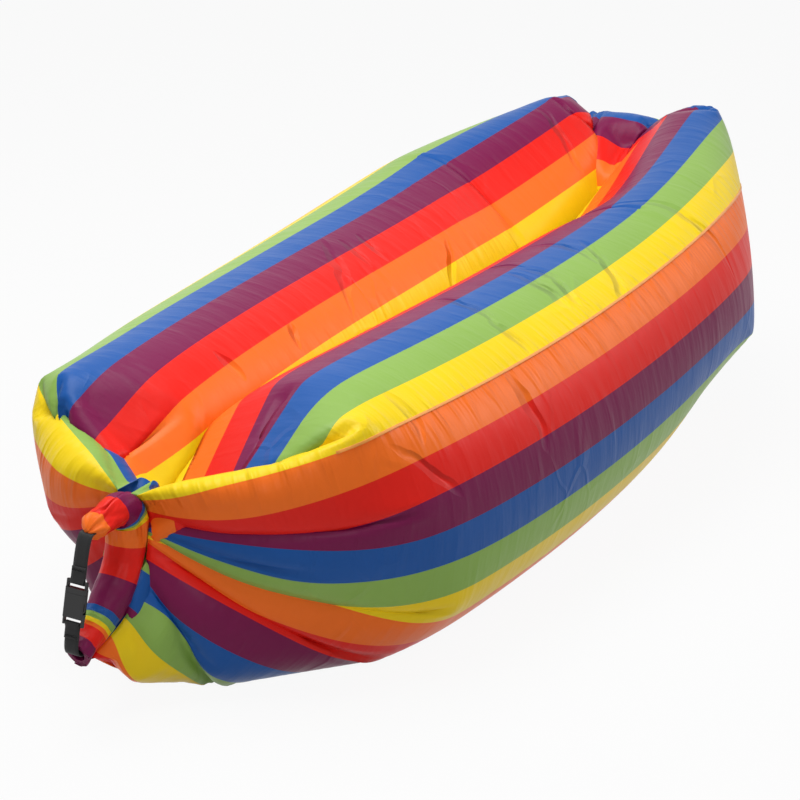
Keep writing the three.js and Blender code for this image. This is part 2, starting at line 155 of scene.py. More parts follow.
def set_studio():
    scene = bpy.context.scene
    scene.view_settings.view_transform = "Standard"
    world = bpy.data.worlds.new("studio")
    scene.world = world
    world.use_nodes = True
    tree = world.node_tree
    tree.nodes.clear()
    lighting = add_node(tree, "ShaderNodeBackground", {"Color": (0.94, 0.97, 1.0, 1),
                                                       "Strength": WORLD_LIGHT})
    shown = add_node(tree, "ShaderNodeBackground", {"Color": (1, 1, 1, 1), "Strength": 1.0})
    mixed_surface(tree, "ShaderNodeOutputWorld", seen_directly(tree), lighting, shown)

    bpy.ops.object.select_all(action="DESELECT")
    bpy.ops.mesh.primitive_plane_add(size=FLOOR_SIZE, location=(0, 0, -0.001))
    floor = bpy.context.object
    floor.name = "floor"
    material = bpy.data.materials.new("pale_floor")
    material.use_nodes = True
    tree = material.node_tree
    tree.nodes.clear()
    matt = add_node(tree, "ShaderNodeBsdfDiffuse", {"Color": (*[FLOOR_GREY] * 3, 1)})
    bright = add_node(tree, "ShaderNodeEmission", {"Strength": 1.0})
    share = math_node(tree, "MULTIPLY", seen_directly(tree), FLOOR_WHITENESS)
    mixed_surface(tree, "ShaderNodeOutputMaterial", share, matt, bright)
    floor.data.materials.append(material)

    add_lamp("top_lamp", place=(-0.5, 0.5, 3.1), aim=(0, 0, 0.2), size=(2.6, 2.0), power=98)
    add_lamp("front_lamp", place=(-3.0, -2.2, 2.0), aim=(0, 0, 0.2), size=(1.6, 1.2), power=18)
    add_lamp("head_lamp", place=(2.6, -2.4, 2.2), aim=(0.2, 0, 0.3), size=(1.4, 1.2), power=32)


set_camera()
set_studio()


# The materials.
def new_material(name):
    material = bpy.data.materials.new(name)
    material.use_nodes = True
    return material, material.node_tree, material.node_tree.nodes["Principled BSDF"]


def noise_node(tree, vector, scale, detail=3.0, rough=0.5):
    return add_node(tree, "ShaderNodeTexNoise", {"Vector": vector, "Scale": scale,
                                                 "Detail": detail, "Roughness": rough}).outputs["Fac"]


def mapping(tree, vector, scale, turn=0.0):
    return add_node(tree, "ShaderNodeMapping", {"Vector": vector, "Scale": scale, "Rotation": (
        0, 0, math.radians(turn))}).outputs["Vector"]


def between(tree, value, low, high):
    """The value, from 0 to 1, spread out from low to high."""
    return add_node(tree, "ShaderNodeMapRange", {"Value": value, "To Min": low,
                                                 "To Max": high}).outputs["Result"]


def wandering(tree, vector, scale, reach):
    """The place with a smooth random shift, from 0 to reach both ways along the cloth."""
    noise = add_node(tree, "ShaderNodeTexNoise", {"Vector": vector, "Scale": scale})
    return add_node(tree, "ShaderNodeVectorMath", {
        0: noise.outputs["Color"], 1: (reach, reach, 0), 2: vector}, "MULTIPLY_ADD").outputs[0]


def bump_node(tree, height, distance, strength, normal=None):
    return add_node(tree, "ShaderNodeBump", {
        "Height": height, "Distance": distance, "Strength": strength,
        "Normal": normal}).outputs["Normal"]


# the cloth's long folds, each from an angle round the sleeve and a place along it to another, in
# degrees and metres
LONG_FOLDS = [(80, -0.775, 158, -0.735), (100, -1.228, 124, -1.228), (96, -0.98, 139, -1.11),
              (106, -1.18, 127, -1.205), (115, -1.738, 142, -1.75), (72, -1.02, 116, -1.045),
              (76, -1.355, 98, -1.39), (88, -1.372, 112, -1.40), (88, -1.20, 114, -1.232),
              (91, -1.173, 114, -1.173), (68, -1.143, 94, -1.166), (106, -1.405, 132, -1.393),
              (132, -1.488, 168, -1.488), (138, -1.81, 168, -1.71), (88, 1.17, 44, 1.325),
              (88, 0.37, 44, 0.425), (81, 1.15, 58, 1.175), (79, 1.105, 58, 1.12),
              (66, 1.695, 46, 1.68), (58, 1.485, 44, 1.51), (54, 0.93, 32, 1.0)]
FOLD_WIDTH = 0.013           # on each side of a fold's middle
FOLD_DEPTH = 0.0085
SWAY = 0.05                  # how far the folds wander
THREADS_PER_METRE = 260.0
SLANT = 28                   # degrees that the short folds are turned by
SEAM_PULL = 13.0             # how fast the gathers fade away from the seam
CREASE_FADE = 14.0           # how fast a sharp crease gets shallower beside its line
CREASED_FROM = 0.52          # the noise above which the cloth is creased
CREASED_FADE = 7.0           # and how fast the creases get deeper above that


def stripes(tree, round_share):
    """The colour of the band at each share of the way round the sleeve."""
    place = math_node(tree, "MULTIPLY", round_share, REPEATS)
    place = math_node(tree, "SUBTRACT", place, STRIPE_START * REPEATS / 360)
    ramp = add_node(tree, "ShaderNodeValToRGB", {"Fac": math_node(tree, "FRACT", place)})
    ramp.color_ramp.interpolation = "CONSTANT"
    stops = ramp.color_ramp.elements
    stops.remove(stops[1])
    for number, shade in enumerate(STRIPE_ORDER):
        stop = stops[0] if number == 0 else stops.new(number / len(STRIPE_ORDER))
        stop.position = number / len(STRIPE_ORDER)
        stop.color = shade
    return ramp.outputs["Color"]


def uneven_dye(tree, colour, metres):
    tint = noise_node(tree, metres, 5.0, 4.0)
    toned = tree.nodes.new("ShaderNodeMix")
    toned.data_type = "RGBA"
    toned.blend_type = "MULTIPLY"
    toned.inputs["Factor"].default_value = 1.0
    tree.links.new(colour, toned.inputs["A"])
    tree.links.new(between(tree, tint, 0.93, 1.05), toned.inputs["B"])
    return toned.outputs["Result"]


def weave(tree, metres):
    """How far the threads stand out, along and across."""
    waves = []
    for direction in ("X", "Y"):
        wave = add_node(tree, "ShaderNodeTexWave", {"Vector": metres, "Scale": THREADS_PER_METRE})
        wave.bands_direction = direction
        waves.append(wave.outputs["Fac"])
    return math_node(tree, "MULTIPLY", *waves)


def seam_gathers(tree, round_share, metres):
    """Short gathers on both sides of the sewn seam, shallower away from it."""
    off = math_node(tree, "SUBTRACT", round_share, SEAM_ANGLE / 360)
    off = math_node(tree, "ABSOLUTE", off)
    off = math_node(tree, "MULTIPLY", off, SEAM_PULL)
    close = math_node(tree, "SUBTRACT", 1.0, off)
    close = math_node(tree, "MAXIMUM", close, 0.0)
    close = math_node(tree, "MULTIPLY", close, close)
    gathers = noise_node(tree, mapping(tree, metres, (6.0, 44.0, 1)), 1.0, 2.0)
    gathers = math_node(tree, "POWER", gathers, 3.0)
    return math_node(tree, "MULTIPLY", gathers, close)


def sharp_creases(tree, metres):
    """Thin straight creases, here and there, as coated cloth keeps them."""
    bent = wandering(tree, metres, 6.0, 0.12)
    cells = add_node(tree, "ShaderNodeTexVoronoi", {
        "Vector": mapping(tree, bent, (7.0, 11.0, 1)), "Scale": 1.0})
    cells.feature = "DISTANCE_TO_EDGE"
    crease = math_node(tree, "MULTIPLY", cells.outputs["Distance"], CREASE_FADE)
    crease = math_node(tree, "SUBTRACT", 1.0, crease)
    crease = math_node(tree, "MAXIMUM", crease, 0.0)
    some = noise_node(tree, metres, 4.5, 2.0)
    some = math_node(tree, "SUBTRACT", some, CREASED_FROM)
    some = math_node(tree, "MULTIPLY", some, CREASED_FADE)
    some = math_node(tree, "MAXIMUM", some, 0.0)
    some = math_node(tree, "MINIMUM", some, 1.0)
    return math_node(tree, "MULTIPLY", crease, some)


def long_folds(tree, metres):
    """How high the cloth lies, 0 where it is smooth and -1 in the middle of each long fold."""
    swayed = wandering(tree, metres, 9.0, SWAY)
    total = None
    for from_degrees, from_place, to_degrees, to_place in LONG_FOLDS:
        start = Vector((from_degrees / 180 * FLAT_WIDTH, from_place))
        end = Vector((to_degrees / 180 * FLAT_WIDTH, to_place))
        run, middle = end - start, (start + end) / 2
        along_fold = add_node(tree, "ShaderNodeMapping", {
            "Vector": swayed,
            "Location": (middle.x + SWAY / 2, middle.y + SWAY / 2, 0),
            "Rotation": (0, 0, math.atan2(run.y, run.x)),
            "Scale": (run.length / 2, FOLD_WIDTH, 1)})
        along_fold.vector_type = "TEXTURE"
        valley = add_node(tree, "ShaderNodeTexGradient", {"Vector": along_fold.outputs[0]})
        valley.gradient_type = "SPHERICAL"
        depth = valley.outputs["Fac"]
        total = depth if total is None else math_node(tree, "ADD", total, depth)
    return math_node(tree, "MULTIPLY", total, -1.0)


def striped_cloth(name, crumple=0.0012):
    """Thin coated cloth in bands of colour that run along the sleeve. The map's first number
    goes once round the sleeve, and its second runs along it in metres."""
    material, tree, shader = new_material(name)
    uv = tree.nodes.new("ShaderNodeUVMap")
    uv.uv_map = "cloth"
    parts = add_node(tree, "ShaderNodeSeparateXYZ", {0: uv.outputs["UV"]})
    round_share = parts.outputs["X"]
    metres = mapping(tree, uv.outputs["UV"], (2 * FLAT_WIDTH, 1, 1))
    colour = uneven_dye(tree, stripes(tree, round_share), metres)
    tree.links.new(colour, shader.inputs["Base Color"])
    gloss = noise_node(tree, metres, 22.0, 3.0)
    tree.links.new(between(tree, gloss, 0.30, 0.46), shader.inputs["Roughness"])
    shader.inputs["Specular IOR Level"].default_value = 0.15

    # the relief, from the finest to the largest
    soft = noise_node(tree, mapping(tree, metres, (3.0, 13.0, 1)), 1.0)
    slanting = noise_node(tree, mapping(tree, metres, (7.0, 42.0, 1), SLANT), 1.0, 2.0)
    slanting = math_node(tree, "POWER", slanting, 2.5)
    small = noise_node(tree, metres, 38.0, 4.0, 0.6)
    normal = None
    for height, distance, strength in (
            (weave(tree, metres), 0.00006, 0.35),
            (soft, crumple * 4, 0.5),
            (slanting, crumple * 4, 0.5),
            (small, crumple, 0.4),
            (seam_gathers(tree, round_share, metres), crumple * 16, 0.8),
            (sharp_creases(tree, metres), crumple * 1.6, 0.6),
            (long_folds(tree, metres), FOLD_DEPTH, 1.0)):
        normal = bump_node(tree, height, distance, strength, normal)
    tree.links.new(normal, shader.inputs["Normal"])
    return material


DARKEST, LIGHTEST = 0.78, 1.18       # how far a plain finish strays from its colour
GLOSS_DOWN, GLOSS_UP = 0.06, 0.08    # and from its roughness


def plain_finish(name, shade, rough, bumps, depth, sheen=0.0, stretch=(1, 1, 1), specular=0.5):
    """A one-colour finish with fine relief and slightly uneven gloss, on object coordinates.
    bumps is how many there are to a metre, about, and depth how high they are."""
    material, tree, shader = new_material(name)
    spot = mapping(tree, tree.nodes.new("ShaderNodeTexCoord").outputs["Object"], stretch)
    fine = noise_node(tree, spot, bumps, 4.0)
    ramp = add_node(tree, "ShaderNodeValToRGB", {"Fac": fine})
    ramp.color_ramp.elements[0].color = tuple(c * DARKEST for c in shade[:3]) + (1,)
    ramp.color_ramp.elements[1].color = tuple(min(1, c * LIGHTEST) for c in shade[:3]) + (1,)
    tree.links.new(ramp.outputs["Color"], shader.inputs["Base Color"])
    gloss = noise_node(tree, spot, bumps * 0.3, 2.0)
    gloss = between(tree, gloss, rough - GLOSS_DOWN, rough + GLOSS_UP)
    tree.links.new(gloss, shader.inputs["Roughness"])
    shader.inputs["Sheen Weight"].default_value = sheen
    shader.inputs["Specular IOR Level"].default_value = specular
    tree.links.new(bump_node(tree, fine, depth, 0.5), shader.inputs["Normal"])
    return material


sleeve_cloth = striped_cloth("striped_sleeve_cloth")
roll_cloth = striped_cloth("striped_roll_cloth", crumple=0.0022)
liner_film = plain_finish("clear_grey_film", say_rgb(205, 210, 214), rough=0.25, bumps=40,
                          depth=0.0004)
seam_tape = plain_finish("seam_tape", say_rgb(236, 150, 60), rough=0.5, bumps=90, depth=0.0003,
                         sheen=0.2)
strip_plastic = plain_finish("milky_strip_plastic", say_rgb(225, 225, 220), rough=0.4, bumps=60,
                             depth=0.0002)
black_webbing = plain_finish("black_webbing", say_rgb(17, 17, 18), rough=0.6, bumps=900,
                             depth=0.0005, sheen=0.1, stretch=(1, 1, 3), specular=0.3)
black_thread = plain_finish("black_thread", say_rgb(14, 14, 15), rough=0.7, bumps=1500,
                            depth=0.0003, sheen=0.1, specular=0.3)
black_plastic = plain_finish("black_moulded_plastic", say_rgb(16, 16, 17), rough=0.34, bumps=700,
                             depth=0.00005)


# The blown-up sleeve.
TINY = 1e-12                 # keeps a division by a length of nothing from failing


def ease(share):
    """The share kept between 0 and 1, with a smooth start and end."""
    share = np.clip(share, 0, 1)
    return share * share * (3 - 2 * share)


def smooth_curve(a, b, c, d, share):
    """The stretch from b to c of a smooth curve through four points."""
    return b + 0.5 * share * (c - a + share * (
        2 * a - 5 * b + 4 * c - d + share * (3 * (b - c) + d - a)))


# the middle line of the rolled mouth as x and z, from its upper tip to its lower one
ROLL_LINE = [(-0.963, 0.300), (-0.925, 0.304), (-0.888, 0.309), (-0.870, 0.288), (-0.873, 0.248),
             (-0.891, 0.208), (-0.924, 0.170), (-0.965, 0.140), (-1.003, 0.124)]
CURVE_STEPS = 24             # between each two of its points


def rolled_line(count):
    """Points down the middle of the C-shaped roll and, at each, the direction towards the sleeve."""
    knots = np.array([ROLL_LINE[0], *ROLL_LINE, ROLL_LINE[-1]])
    share = np.linspace(0, 1, CURVE_STEPS + 1)[:-1, None]
    line = [smooth_curve(*four, share) for four in zip(knots, knots[1:], knots[2:], knots[3:])]
    line = np.vstack([*line, knots[-1:]])
    walked = np.r_[0, np.cumsum(np.hypot(*np.diff(line, axis=0).T))]
    even = np.linspace(0, walked[-1], count)
    x, z = np.interp(even, walked, line[:, 0]), np.interp(even, walked, line[:, 1])
    along_x, along_z = np.gradient(x), np.gradient(z)
    length = np.hypot(along_x, along_z)
    return x, z, -along_z / length, along_x / length


TIPS_END = (0.04, 0.96)      # shares of the roll's length between which it is thicker
TAPER = 0.3                  # the share of its length that it takes to reach its full thickness


def roll_radius(share):
    """How thick the roll is, with share from 0 at its upper tip to 1 at its lower one."""
    middle = ease(np.minimum((share - TIPS_END[0]) / TAPER, (TIPS_END[1] - share) / TAPER))
    return ROLL_TIP_RADIUS + (ROLL_RADIUS - ROLL_TIP_RADIUS) * middle


# degrees round the sleeve, from the flat mouth's upper crease down the outer layer to the lower
# crease, and back up the inner one, with the share of the roll's length where each one goes in
OUTER_DEGREES = [104, 134, 146, 161, 236, 251, 266, 281, 335]
OUTER_SHARES = [0.24, 0.27, 0.30, 0.34, 0.41, 0.48, 0.56, 0.64, 0.97]
INNER_DEGREES = [335, 375, 405, 452, 464]
INNER_SHARES = [0.97, 0.60, 0.36, 0.26, 0.24]
MOUTH_WRAP = 75.0            # how far round the roll the outer cloth goes in
MOUTH_SINK = 0.002           # how far under the roll's skin the cloth goes in
MOUTH_GAP = 0.0015           # from the middle plane to the inner layers
PINCH_BACK = 0.055           # how far the inner pleats stand back from the roll
PINCH_FROM, PINCH_TO = 340, 490      # the angles between which they do, and over how many
PINCH_IN, PINCH_OUT = 40, 30         # degrees that starts and ends
ROLL_SAMPLES = 721


def mouth_ring(round_angle, side):
    """Where the cloth's last round goes into the roll, on one half."""
    degrees = np.degrees(round_angle) % 360
    degrees = np.where(degrees < OUTER_DEGREES[0], degrees + 360, degrees)
    down = np.interp(degrees, OUTER_DEGREES + INNER_DEGREES[1:], OUTER_SHARES + INNER_SHARES[1:])
    shares = np.linspace(0, 1, ROLL_SAMPLES)
    x, z, in_x, in_z = (np.interp(down, shares, line) for line in rolled_line(ROLL_SAMPLES))
    middle = (OUTER_DEGREES[0] + OUTER_DEGREES[-1]) / 2
    outer = (1 + np.cos(np.radians(degrees - middle))) / 2
    wrap = math.radians(MOUTH_WRAP) * outer
    radius = roll_radius(down) - MOUTH_SINK
    reach = radius * np.cos(wrap)
    back = PINCH_BACK * ease((degrees - PINCH_FROM) / PINCH_IN)
    back = back * ease((PINCH_TO - degrees) / PINCH_OUT)
    return np.stack([x + in_x * reach + back, side * (MOUTH_GAP + radius * np.sin(wrap)),
                     z + in_z * reach], -1)


MOUTH_X = -0.85              # where the slack tubes end
SLACK_LENGTH = 0.08          # how much longer the cloth is than its way to there
SLACK_RADIUS = 0.92          # the slack tubes' radius, as a share of the full one
GATHER_FROM = 0.78           # the share of a tube at which it begins to narrow to the mouth
GATHER_OVER = 0.22


def slack_sleeve(rows, around):
    """The sleeve before the air is in: two straight tubes, a half turn, and the gathered mouths."""
    radius = FLAT_WIDTH / math.pi
    round_angle = np.arange(around) * 2 * math.pi / around
    along = np.linspace(-1, 1, rows) * HALF_LENGTH
    turn = TUBE_APART * math.pi / 2
    turn_x = MOUTH_X + HALF_LENGTH - turn - SLACK_LENGTH
    rings = {side: mouth_ring(round_angle, side) for side in (-1, 1)}
    cloth = np.zeros((rows, around, 3))
    for row, place in enumerate(along):
        side = -1 if place < 0 else 1
        run = abs(place)
        if run < turn:
            angle = run / turn * math.pi / 2
            out = np.array([math.cos(angle), side * math.sin(angle)])
            middle = np.array([turn_x, 0.0]) + TUBE_APART * out
            share = 0.0
        else:
            share = (run - turn) / (HALF_LENGTH - turn)
            out = np.array([0.0, side])
            middle = np.array([turn_x - share * (turn_x - MOUTH_X), side * TUBE_APART])
        flat = radius * SLACK_RADIUS * np.cos(round_angle)
        tube = np.stack([middle[0] - flat * out[0], middle[1] - flat * out[1],
                         radius + radius * SLACK_RADIUS * np.sin(round_angle)], -1)
        gather = ease((share - GATHER_FROM) / GATHER_OVER)
        cloth[row] = tube * (1 - gather) + rings[side] * gather
    return cloth, along, rings


def draw_together(first, second, length, push, pull=1.0, shift=0):
    """Moves two sets of neighbouring points towards their distance in the flat cloth. The second
    set is meant that many columns further round."""
    apart = (np.roll(second, shift, 1) if shift else second) - first
    now = np.sqrt((apart * apart).sum(-1, keepdims=True)) + TINY
    error = (now - length) / now
    move = apart * (error * np.where(error > 0, 0.5 * pull, 0.5 * push))
    first += move
    second -= np.roll(move, -shift, 1) if shift else move


def facing_area(cloth):
    """At each point a direction square to the cloth, as long as the area that belongs to it."""
    down = np.empty_like(cloth)
    down[1:-1] = cloth[2:] - cloth[:-2]
    down[0] = cloth[1] - cloth[0]
    down[-1] = cloth[-1] - cloth[-2]
    across = np.roll(cloth, -1, 1) - np.roll(cloth, 1, 1)
    return np.cross(down, across) * 0.25


def points_out(points, turned):
    """1 if those directions point out of the tube, and -1 if they point in."""
    return math.copysign(1, ((points - points.mean(1, keepdims=True)) * turned).sum())


def outwards(points):
    """The direction straight out of the cloth at each point."""
    turned = facing_area(points)
    turned /= np.linalg.norm(turned, axis=-1, keepdims=True) + TINY
    return turned * points_out(points, turned)


# what holds the blown-up cloth in: limits that keep it from going further the way they face
GIVE = 0.3                   # how much of what is past a limit each round takes back
START_SLACK = 0.1            # how much further out the limits are at the start
HEAD_LIFT = 0.15             # how far the folded end stands off the ground
LIFT_FROM, LIFT_OVER = 0.4, 0.6      # where along the sleeve it starts, and over what length
HEAD_TOP = 0.553
TOP_GIVE = 0.1               # as GIVE, but for the top
HEAD_X = 0.965               # how far the folded end goes
HEAD_CORNER = 0.635          # and its two outer corners
PINCH_X = -0.77              # where the pleats of both halves meet
PINCH_Z = 0.29
NEAR_SLOPE = 0.45            # how the cloth rises from there to either side,
FAR_SLOPE = 0.8
HEAD_SLOPE = 0.62            # towards the folded end
MOUTH_SLOPE = 0.45           # and towards the roll
CORNER_ALONG, CORNER_OUT = 0.5, 0.866        # the way that the corners' upright limits face
FAR_TUCK = 0.44              # how far the far half's mouth corner reaches, and how that grows
FAR_TUCK_RISE = 0.5          # with height; the near half's corner is let out more
NEAR_TUCK = 0.75
SHOULDER_IN, SHOULDER_UP = 0.66, 0.75        # the way that the inner shoulders' limits face
SHOULDER_REACH = 0.275       # how far the inner shoulders lean in
SHOULDER_TO = 0.85           # and how far along the sleeve they are held
VALLEY_OPEN = 0.245          # how far they lean in at the folded end
VALLEY_FROM, VALLEY_OVER = 0.1, 0.4  # where along the sleeve that starts, and over what length
LOWER_ALONG, LOWER_OUT, LOWER_DOWN = 0.136, 0.739, 0.66      # the way the lower corners' face
CORNER_REACH = 0.235         # how far the folded end's outer lower corners reach
CORNER_FROM = 0.3            # and from where along the sleeve they are held


def hold_in(cloth, share):
    """What the cloth can't pass: the ground, the lift of the folded end, the pinch at the mouths
    and the tucked corners. share goes from 0 to 1 while the air comes in, and the limits with it."""
    x, y, z = cloth[..., 0], cloth[..., 1], cloth[..., 2]
    side = np.sign(y)
    slack = START_SLACK * (1 - share)

    def draw_back(over, along, out, up):
        """Moves what is over a limit back, against the way that the limit faces."""
        past = np.maximum(over, 0) * GIVE
        x[...] -= along * past
        y[...] -= out * past * side
        z[...] -= up * past

    ground = HEAD_LIFT * share * ease((x - LIFT_FROM) / LIFT_OVER)
    np.maximum(z, ground, out=z)
    z -= np.maximum(z - HEAD_TOP, 0) * TOP_GIVE
    rise = np.where(y > 0, FAR_SLOPE, NEAR_SLOPE) * np.abs(y)
    rise += HEAD_SLOPE * np.maximum(x - PINCH_X, 0) + MOUTH_SLOPE * np.maximum(PINCH_X - x, 0)
    draw_back(z - PINCH_Z - rise - 2 * slack, 0, 0, 1)
    reach = np.where(y > 0, FAR_TUCK + FAR_TUCK_RISE * z, NEAR_TUCK)
    draw_back(CORNER_OUT * np.abs(y) - CORNER_ALONG * x - reach - slack,
              -CORNER_ALONG, CORNER_OUT, 0)
    lean = SHOULDER_UP * (z - ground) - SHOULDER_IN * np.abs(y) - SHOULDER_REACH
    lean += (SHOULDER_REACH - VALLEY_OPEN) * ease((x - VALLEY_FROM) / VALLEY_OVER)
    draw_back(np.where(x < SHOULDER_TO, lean - slack, 0), 0, -SHOULDER_IN, SHOULDER_UP)
    draw_back(x - HEAD_X - 5 * slack, 1, 0, 0)
    draw_back(CORNER_OUT * np.abs(y) + CORNER_ALONG * x - HEAD_CORNER - 4 * slack,
              CORNER_ALONG, CORNER_OUT, 0)
    over = LOWER_ALONG * x + LOWER_OUT * np.abs(y) - LOWER_DOWN * z - CORNER_REACH - slack
    draw_back(np.where(x > CORNER_FROM, over, 0), LOWER_ALONG, LOWER_OUT, -LOWER_DOWN)


WEIGHT = 0.08                # how much the cloth is drawn down, against the push of the air
KEPT_MOTION = 0.98           # from one step to the next
ROUNDS = 3                   # how often each step puts the cloth's lengths right
PRESSED = 0.6                # how much the cloth withstands being pressed together
SLANT_PRESSED, SLANT_PULLED = 0.15, 0.3      # and being pressed and pulled on the slant
STIFFNESS = 0.05             # how much of its bends each step evens out
JOIN_FROM, JOIN_TO = 0.12, 0.42   # shares of the cloth's length between which the halves are sewn
LEASH = 0.012                # how far from the middle plane the inner layers stay at the mouths,
LEASH_GROWTH = 0.8           # and how that grows away from them
OUTER_MARGIN = 12            # degrees past the upper crease where the outer layer starts
HALVES_GAP = 0.0012          # from the middle plane to each half
FOLD_MIDDLE = 0.06           # so near the fold the cloth may pass the middle plane,
FOLD_CROSSING = 0.02         # by so much


def blow_up(cloth, along, rings, steps, blow, seed, uneven, settled=False):
    """Air pressure on cloth that can't stretch, over the floor, with the halves side by side.
    blow is how far the air moves slack cloth in one step. The numbers of rows and columns are
    even, so that all neighbours pair up."""
    rows, around, _ = cloth.shape
    step_down = 2 * HALF_LENGTH / (rows - 1)
    step_round = 2 * FLAT_WIDTH / around
    diagonal = math.hypot(step_down, step_round)
    chance = np.random.default_rng(seed)
    cloth[2:-2] += chance.normal(0, uneven, cloth[2:-2].shape)
    facing = points_out(cloth, facing_area(cloth))
    near = along < 0
    # near the mouths the inner layers stay by the middle plane
    degrees = np.arange(around) * 360 / around
    outer = (degrees > OUTER_DEGREES[0] + OUTER_MARGIN) & (degrees < OUTER_DEGREES[-1])
    leash = LEASH + LEASH_GROWTH * (HALF_LENGTH - np.abs(along))[:, None] + outer[None]
    free = np.where(np.abs(along) < FOLD_MIDDLE, FOLD_CROSSING, -HALVES_GAP)[:, None]
    first, last = int(rows * JOIN_FROM), int(rows * JOIN_TO)
    sewn, sewn_too = slice(first, last), slice(rows - last, rows - first)
    before = cloth.copy()
    for count in range(steps):
        moved = (cloth - before) * KEPT_MOTION
        before = cloth.copy()
        cloth = cloth + moved + facing_area(cloth) * (facing * blow / (step_down * step_round))
        cloth[..., 2] -= WEIGHT * blow
        for _ in range(ROUNDS):
            for odd in (0, 1):
                draw_together(cloth[odd:-1:2], cloth[odd + 1::2], step_down, PRESSED)
            draw_together(cloth[:, 0::2], cloth[:, 1::2], step_round, PRESSED)
            turned = np.roll(cloth, -1, 1)
            draw_together(turned[:, 0::2], turned[:, 1::2], step_round, PRESSED)
            cloth = np.roll(turned, 1, 1)
            for odd in (0, 1):
                for shift in (1, -1):
                    draw_together(cloth[odd:-1:2], cloth[odd + 1::2], diagonal, SLANT_PRESSED,
                                  SLANT_PULLED, shift)
            cloth[0], cloth[-1] = rings[-1], rings[1]
            hold_in(cloth, 1.0 if settled else min(1.0, 2 * count / steps))
            sideways = cloth[..., 1]
            sideways[near] = np.minimum(sideways[near], free[near])
            sideways[~near] = np.maximum(sideways[~near], -free[~near])
            np.clip(sideways, -leash, leash, out=sideways)
            joined = (cloth[sewn, 0] + cloth[sewn_too, 0][::-1]) / 2
            joined[:, 1] = 0
            cloth[sewn, 0] = joined
            cloth[sewn_too, 0] = joined[::-1]
        flat_down = np.zeros_like(cloth)
        flat_down[1:-1] = (cloth[2:] + cloth[:-2]) / 2 - cloth[1:-1]
        flat_round = (np.roll(cloth, 1, 1) + np.roll(cloth, -1, 1)) / 2 - cloth
        cloth = cloth + STIFFNESS * (flat_down + flat_round * 0.5)
        cloth[0], cloth[-1] = rings[-1], rings[1]
    return cloth


def finer(cloth, rows, around):
    """The same cloth on a denser grid, along smooth curves through its points."""
    def fill_in(points, count, closed):
        had = points.shape[0]
        place = np.arange(count) * had / count if closed else np.linspace(0, had - 1, count)
        index = np.floor(place).astype(int)
        four = index + np.arange(-1, 3)[:, None]
        four = four % had if closed else np.clip(four, 0, had - 1)
        return smooth_curve(*points[four], (place - index)[:, None, None])
    long_way = fill_in(cloth, rows, False)
    return fill_in(long_way.transpose(1, 0, 2), around, True).transpose(1, 0, 2).copy()


def calm(points, times):
    """The grid with its small folds smoothed away, which draws it in a little."""
    points = points.copy()
    for _ in range(times):
        mean = (np.roll(points, 1, 1) + np.roll(points, -1, 1)) / 4
        mean[1:-1] += (points[2:] + points[:-2]) / 4
        points[1:-1] += 0.5 * (mean[1:-1] - points[1:-1])
    return points


ROWS, AROUND = 240, 72
cloth, along, rings = slack_sleeve(ROWS, AROUND)
cloth = blow_up(cloth, along, rings, steps=450, blow=1e-4, seed=1,
                uneven=0.0005)
ROWS, AROUND = 480, 144
cloth = finer(cloth, ROWS, AROUND)
_, along, rings = slack_sleeve(ROWS, AROUND)
cloth = blow_up(cloth, along, rings, steps=160, blow=2.5e-5, seed=2, uneven=0.0003,
                settled=True)
# the pleats right at the mouths are too tight for the grid, so they are smoothed
SMOOTHED_LENGTH = 0.22
SMOOTHED_OVER = 0.15
by_mouth = ease((np.abs(along) - (HALF_LENGTH - SMOOTHED_LENGTH)) / SMOOTHED_OVER)[:, None, None]
cloth = cloth * (1 - by_mouth) + calm(cloth, 9) * by_mouth


def face_outwards(piece):
    shape = bmesh.new()
    shape.from_mesh(piece.data)
    bmesh.ops.recalc_face_normals(shape, faces=shape.faces)
    shape.to_mesh(piece.data)
    shape.free()


def add_map(mesh, spots):
    layer = mesh.uv_layers.new(name="cloth")
    layer.data.foreach_set("uv", spots.astype(np.float32).ravel())


def loft(name, rings, material, spots=None):
    """A closed skin over rings of points, with flat ends. One with a map has smooth ends."""
    rows, around, _ = rings.shape
    number = np.arange(rows * around).reshape(rows, around)
    nxt = np.roll(number, -1, 1)
    faces = np.stack([number[:-1], nxt[:-1], nxt[1:], number[1:]], -1).reshape(-1, 4).tolist()
    faces.append(number[0].tolist())
    faces.append(number[-1][::-1].tolist())
    mesh = bpy.data.meshes.new(name)
    mesh.from_pydata(rings.reshape(-1, 3).tolist(), [], faces)
    if spots is not None:
        add_map(mesh, spots)
    mesh.polygons.foreach_set("use_smooth", [spots is not None or len(face) == 4
                                             for face in faces])
    piece = bpy.data.objects.new(name, mesh)
    bpy.context.scene.collection.objects.link(piece)
    face_outwards(piece)
    mesh.materials.append(material)
    return piece


def tube_mesh(name, points, material):
    """A closed skin over a grid that runs along the sleeve and round it, with its map."""
    rows, around, _ = points.shape
    share_round = np.arange(around + 1) / around
    share_along = np.linspace(-1, 1, rows) * HALF_LENGTH
    u = np.broadcast_to(np.stack([share_round[:-1], share_round[1:], share_round[1:],
                                  share_round[:-1]], -1), (rows - 1, around, 4))
    v = np.broadcast_to(np.stack([share_along[:-1], share_along[:-1], share_along[1:],
                                  share_along[1:]], -1)[:, None], (rows - 1, around, 4))
    ends = [(0.5, -HALF_LENGTH)] * around + [(0.5, HALF_LENGTH)] * around
    return loft(name, points, material, np.vstack([np.stack([u, v], -1).reshape(-1, 2), ends]))


sleeve = tube_mesh("striped_sleeve", cloth, sleeve_cloth)
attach(sleeve, "lounger")
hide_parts("near_half_tube", "far_half_tube", "folded_head_end", "near_mouth_gather",
            "far_mouth_gather")


# The film inside the sleeve.
def inside_of(points, depth):
    """The same grid moved in from the cloth."""
    return points - outwards(points) * depth


